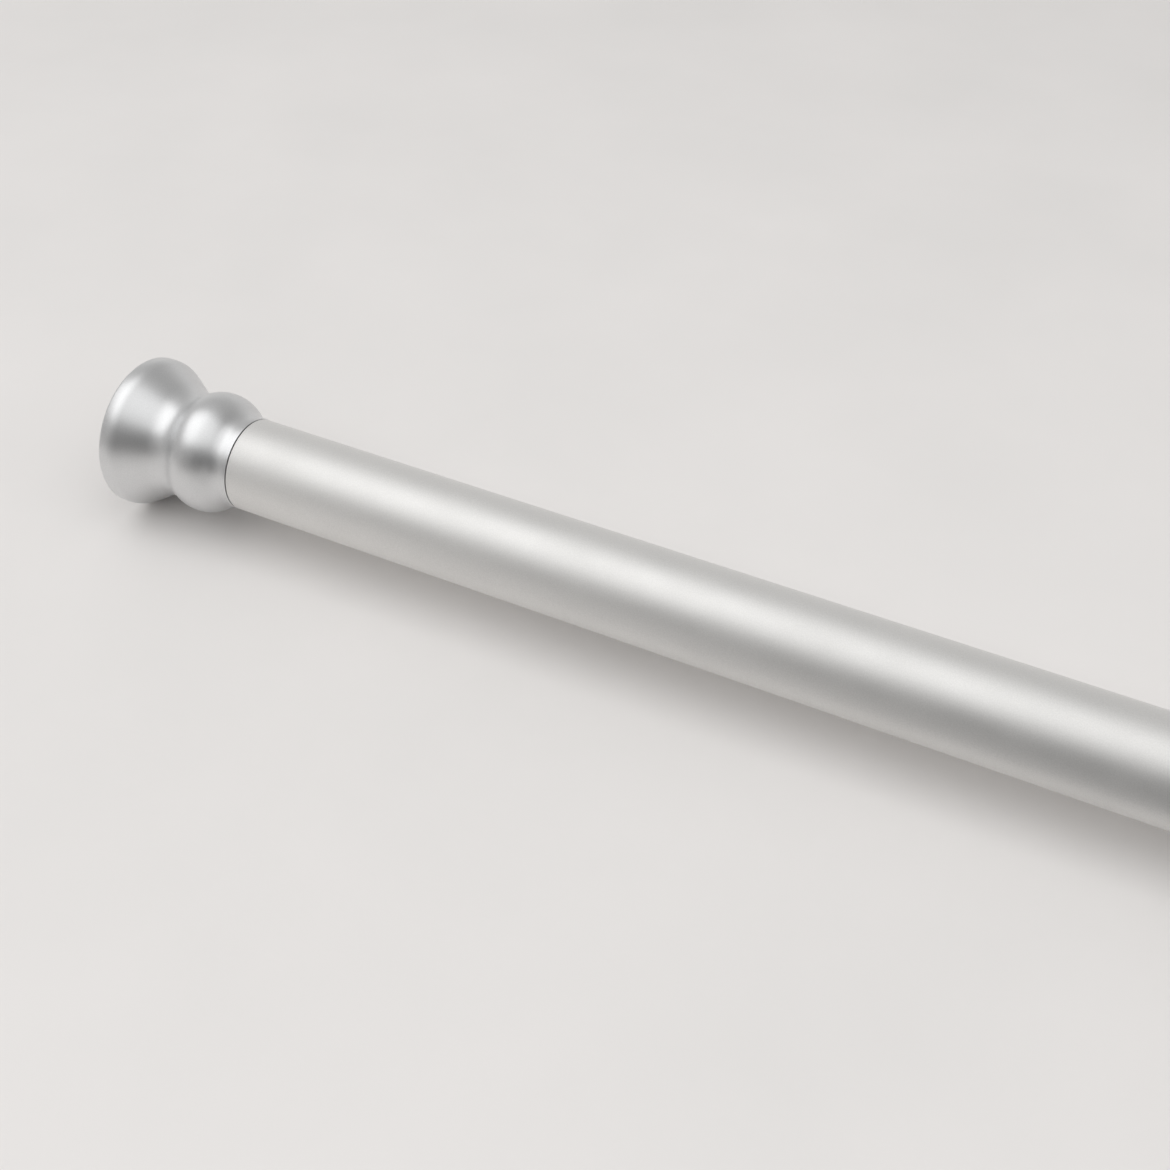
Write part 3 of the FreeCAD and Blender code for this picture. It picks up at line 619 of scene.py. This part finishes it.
# %% Thread a screw
SHANK_CORE, SHANK_CREST, SHANK_LENGTH = 1.6, 2.0, 12.0
THREAD_START, THREAD_PITCH, THREAD_HALF, THREAD_SINK = 0.9, 1.3, 0.45, 0.1
THREAD_TURNS, THREAD_STEPS = 7, 36


def turn_screw():
    pen = Pen(-HEAD_HEIGHT, 0.0).to((-HEAD_HEIGHT, HEAD_RADIUS), (0.0, HEAD_RADIUS), (0.0, SHANK_CORE))
    screw = turn(pen.to((SHANK_LENGTH - SHANK_CORE, SHANK_CORE), (SHANK_LENGTH, 0.0)))
    cut_slot(round_rings(screw, HEAD_ROUND, (-HEAD_HEIGHT, HEAD_RADIUS)))
    root = SHANK_CORE - THREAD_SINK
    corners = [(THREAD_START - THREAD_HALF, root), (THREAD_START, SHANK_CREST),
               (THREAD_START + THREAD_HALF, root)]
    ridge = screw.faces.new([screw.verts.new((x, 0.0, radius)) for x, radius in corners])
    wind(screw, [ridge], THREAD_TURNS, THREAD_PITCH, THREAD_STEPS)
    bmesh.ops.recalc_face_normals(screw, faces=screw.faces)
    return screw


print("thread of", THREAD_TURNS, "turns")

# %% [markdown]
# The tail screw points the other way. It is rotated and not mirrored, because a mirrored screw would
# have a left-hand thread.

# %% Place the screws
nose = shift(turn_screw(), ends("nose_screw")[0] + HEAD_HEIGHT)
put_in(nose, "front_screw", "lock_body", "nose_screw", plated.material)
tail = turn_screw()
bmesh.ops.rotate(tail, verts=tail.verts, cent=MIDDLE, matrix=Matrix.Rotation(math.pi, 3, "Z"))
shift(tail, ends("tail_screw")[1] - HEAD_HEIGHT)
put_in(tail, "rear_screw", "lock_body", "tail_screw", plated.material)

# %% [markdown]
# ## The lock inside
# The cam lock and its plugs are plain nylon mouldings, hidden in the tubes, and the solids already have
# their shape. They only get the finish of the real parts.

# %% Finish the hidden parts
hidden = ("guide_ring", "nose_disc", "lock_spindle", "cam_collar", "guide_bush", "spring_stop")
for name in hidden:
    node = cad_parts[name]
    node.data.materials.clear()
    node.data.materials.append(nylon.material)
print("hidden parts finished:", len(hidden))

# %% [markdown]
# ## The floor
# The rod lies on the rims of its caps, on a pale sheet of paper. It is a very wide disc, so its edge is
# far off at the horizon from every side.

# %% Lay the floor
FLOOR, FLOOR_RADIUS, FLOOR_MIDDLE = -RIM_RADIUS, 60.0, 0.4
sheet = Finish("pale_paper")
sheet.colour((0.760, 0.743, 0.730), (0.790, 0.770, 0.757), scale=14, detail=5.0)
sheet.roughness(0.75, 0.9, scale=40, detail=3.0)
sheet.bump(depth=0.05, strength=0.2, scale=900, detail=4.0)


def put_on_stage(bm, name, finish):
    mesh = bpy.data.meshes.new(name)
    bm.to_mesh(mesh)
    bm.free()
    mesh.materials.append(finish)
    thing = bpy.data.objects.new(name, mesh)
    bpy.context.scene.collection.objects.link(thing)
    return thing


disc = bmesh.new()
bmesh.ops.create_circle(disc, cap_ends=True, segments=ROUND_STEPS, radius=FLOOR_RADIUS,
                        matrix=Matrix.Translation((FLOOR_MIDDLE, 0.0, FLOOR * MM)))
put_on_stage(disc, "floor", sheet.material)
print("floor at", FLOOR, "mm")

# %% [markdown]
# ## The softboxes
# Silver shows little but what it reflects, so the light is chosen by its reflection. Two big softboxes
# hang side by side overhead and make the wide soft stripe along the tube. The right one is weaker. The
# steep part of the bell faces it, which leaves a dimmer stretch between the bright spots at the rim and
# at the waist.

# %% Hang the softboxes
SOFTBOX_DEPTH, SOFTBOX_MIDDLE, SOFTBOX_HEIGHT = 2.2, -0.675, 1.4
SOFTBOX_LEFT, SOFTBOX_SEAM, SOFTBOX_RIGHT = -1.47, 0.05, 2.93
STRONG, WEAK = 3.68, 2.66


def hang_softbox(name, left, right, watts_per_area):
    lamp = bpy.data.lights.new(name, "AREA")
    lamp.shape = "RECTANGLE"
    lamp.size = right - left
    lamp.size_y = SOFTBOX_DEPTH
    lamp.energy = watts_per_area * lamp.size * lamp.size_y
    softbox = bpy.data.objects.new(name, lamp)
    softbox.location = ((left + right) / 2, SOFTBOX_MIDDLE, SOFTBOX_HEIGHT)
    softbox.visible_camera = False
    bpy.context.scene.collection.objects.link(softbox)
    print(f"{name}: {lamp.size:.2f} by {lamp.size_y:.2f} m, {lamp.energy:.1f} W")


hang_softbox("left_softbox", SOFTBOX_LEFT, SOFTBOX_SEAM, STRONG)
hang_softbox("right_softbox", SOFTBOX_SEAM, SOFTBOX_RIGHT, WEAK)

# %% [markdown]
# ## The fill
# A weak and very wide sun from behind on the left pulls the soft shadow to the near side of the rod. It
# is kept out of the reflections, where the softboxes and the room are enough.

# %% Add the fill
FILL_STRENGTH, FILL_ANGLE = 0.5, 100
FILL_WAY = Vector((0.45, -0.15, -0.88))
fill_lamp = bpy.data.lights.new("fill", "SUN")
fill_lamp.energy = FILL_STRENGTH
fill_lamp.angle = math.radians(FILL_ANGLE)
fill = bpy.data.objects.new("fill", fill_lamp)
fill.rotation_mode = "QUATERNION"
fill.rotation_quaternion = FILL_WAY.to_track_quat("-Z", "Y")
fill.visible_glossy = False
bpy.context.scene.collection.objects.link(fill)
print("fill of", FILL_STRENGTH, "from behind")

# %% [markdown]
# ## The flags
# A photographer gives bright metal its dark bands with flags, dark cards just outside the picture. Here
# they only show in reflections, so they are painted reflections: they throw no shadow on the paper and
# stay out of the other views. Their grey is graded along the rod as painted shade, by a gradient that the
# mapping scales, turns and shifts.

# %% Make a card with painted shade
def painted_shade_finish(name, start, end, lean, light, dark):
    """Paints shade: fades from light to dark between two places along X, and later the higher up if it
    leans.
    """
    card = Finish(name, Roughness=1.0)
    slope = (GRAIN_HIGH - GRAIN_LOW) / (end - start)
    across = card.nodes.new("ShaderNodeMapping")
    across.inputs["Scale"].default_value = (slope / math.cos(lean), 1.0, 1.0)
    across.inputs["Rotation"].default_value = (0.0, -lean, 0.0)
    across.inputs["Location"].default_value = (GRAIN_LOW - slope * start, 0.0, 0.0)
    fade = card.nodes.new("ShaderNodeTexGradient")
    card.links.new(card.place, across.inputs["Vector"])
    card.links.new(across.outputs["Vector"], fade.inputs["Vector"])
    card.blend(fade.outputs["Fac"], light, dark)
    return card.material


def set_card(name, width, depth, place, finish):
    board = bmesh.new()
    bmesh.ops.create_grid(board, x_segments=1, y_segments=1, size=0.5,
                          matrix=place @ Matrix.Diagonal((width, depth, 1.0, 1.0)))
    card = put_on_stage(board, name, finish)
    card.visible_camera = False
    card.visible_shadow = False
    card.visible_diffuse = False
    print(f"{name}: {width:.2f} by {depth:.2f} m")


print("ready to set cards")

# %% [markdown]
# One card stands before the rod, and one lies on the paper between the two. The lying one is painted
# shade of the paper: it starts with the paper's colour and darkens. Both have painted shade that is
# darkest on the right, as the bands are. The upright one leans its painted fade, so that its top is
# lighter.

# %% Set both cards
CARD_WIDTH, FLAG_HEIGHT, FLAG_AWAY = 2.6, 0.40, 0.42
# The flag's grey is painted shade: lighter on the left and at its top, near black on the right.
FLAG_FADE, FLAG_LEAN = (-0.30, 0.18), math.radians(15)
FLAG_PAINTED_SHADE_GREYS = (0.53, 0.53, 0.53), (0.06, 0.06, 0.06)
# The foot is painted shade of the paper: paper-coloured on the left, darkening to the right, seen only in
# reflections.
FOOT_AWAY, FOOT_LIFT = 0.03, 0.001
FOOT_FADE, FOOT_LEAN = (0.02, 0.30), 0.0
FOOT_PAINTED_SHADE_GREYS = (0.775, 0.757, 0.743), (0.28, 0.28, 0.28)
flag_painted_shade = painted_shade_finish("card_painted_reflection_and_shade", *FLAG_FADE, FLAG_LEAN, *FLAG_PAINTED_SHADE_GREYS)
foot_painted_shade = painted_shade_finish("paper_painted_shade", *FOOT_FADE, FOOT_LEAN, *FOOT_PAINTED_SHADE_GREYS)
flag_place = Matrix.Translation((0.0, -FLAG_AWAY, FLOOR * MM + FLAG_HEIGHT / 2)) @ UPRIGHT
foot_place = Matrix.Translation((0.0, -(FLAG_AWAY + FOOT_AWAY) / 2, FLOOR * MM + FOOT_LIFT))
set_card("flag", CARD_WIDTH, FLAG_HEIGHT, flag_place, flag_painted_shade)
set_card("painted_paper_shade_card", CARD_WIDTH, FLAG_AWAY - FOOT_AWAY, foot_place, foot_painted_shade)

# %% [markdown]
# ## The room
# The room is a plain grey world. It is lighter on the left and behind, as a room with a window on that
# side would be. The direction's dot product with the light side gives the level.

# %% Shade the room
ROOM_DARK, ROOM_LIGHT = 0.28, 0.66
ROOM_LIGHT_SIDE, ROOM_SPAN = (-0.81, 0.58, 0.0), (-1.0, 0.92)
ROOM_COLOUR = (1.0, 0.99, 0.98, 1.0)
room = bpy.data.worlds.new("grey_room")
room.use_nodes = True
bpy.context.scene.world = room
nodes, links = room.node_tree.nodes, room.node_tree.links
nodes["Background"].inputs["Color"].default_value = ROOM_COLOUR
way = nodes.new("ShaderNodeTexCoord").outputs["Generated"]
side = nodes.new("ShaderNodeVectorMath")
side.operation = "DOT_PRODUCT"
side.inputs[1].default_value = ROOM_LIGHT_SIDE
level = nodes.new("ShaderNodeMapRange")
level.interpolation_type = "SMOOTHSTEP"
level.inputs["From Min"].default_value, level.inputs["From Max"].default_value = ROOM_SPAN
level.inputs["To Min"].default_value = ROOM_DARK
level.inputs["To Max"].default_value = ROOM_LIGHT
links.new(way, side.inputs[0])
links.new(side.outputs["Value"], level.inputs["Value"])
print("room from", ROOM_DARK, "to", ROOM_LIGHT)

# %% [markdown]
# The height of the direction trims that level, so the room is lighter near the horizon and darker
# overhead.

# %% Trim the room by height
HORIZON_GAIN, UPPER_GAIN, UPPER_HEIGHT = 1.4, 0.75, 0.5
height = nodes.new("ShaderNodeSeparateXYZ")
trim = nodes.new("ShaderNodeMapRange")
trim.inputs["From Max"].default_value = UPPER_HEIGHT
trim.inputs["To Min"].default_value = HORIZON_GAIN
trim.inputs["To Max"].default_value = UPPER_GAIN
both = nodes.new("ShaderNodeMath")
both.operation = "MULTIPLY"
links.new(way, height.inputs["Vector"])
links.new(height.outputs["Z"], trim.inputs["Value"])
links.new(level.outputs["Result"], both.inputs[0])
links.new(trim.outputs["Result"], both.inputs[1])
links.new(both.outputs["Value"], nodes["Background"].inputs["Strength"])
print("room times", HORIZON_GAIN, "at the horizon and", UPPER_GAIN, "overhead")

# %% [markdown]
# ## Camera
# The camera looks down at the cap's end from the right, as the photograph does. Its place and lens come
# from the tube's two edges and the oval of the seam, whose sizes are known. It stands level, so aiming
# it at a point is enough.

# %% Camera
LENS, SENSOR = 49.23, 36.0
CAMERA_PLACE, CAMERA_AIM = Vector((0.2735, -0.2685, 0.2660)), Vector((0.1292, 0.0174, -0.02075))
camera_data = bpy.data.cameras.new("camera")
camera_data.lens = LENS
camera_data.sensor_width = SENSOR
camera = bpy.data.objects.new("camera", camera_data)
camera.location = CAMERA_PLACE
camera.rotation_mode = "QUATERNION"
camera.rotation_quaternion = (CAMERA_AIM - CAMERA_PLACE).to_track_quat("-Z", "Y")
bpy.context.scene.collection.objects.link(camera)
bpy.context.scene.camera = camera
bpy.context.scene.view_settings.view_transform = "Standard"
print("camera", round((CAMERA_AIM - CAMERA_PLACE).length, 3), "m from the floor point it looks at")
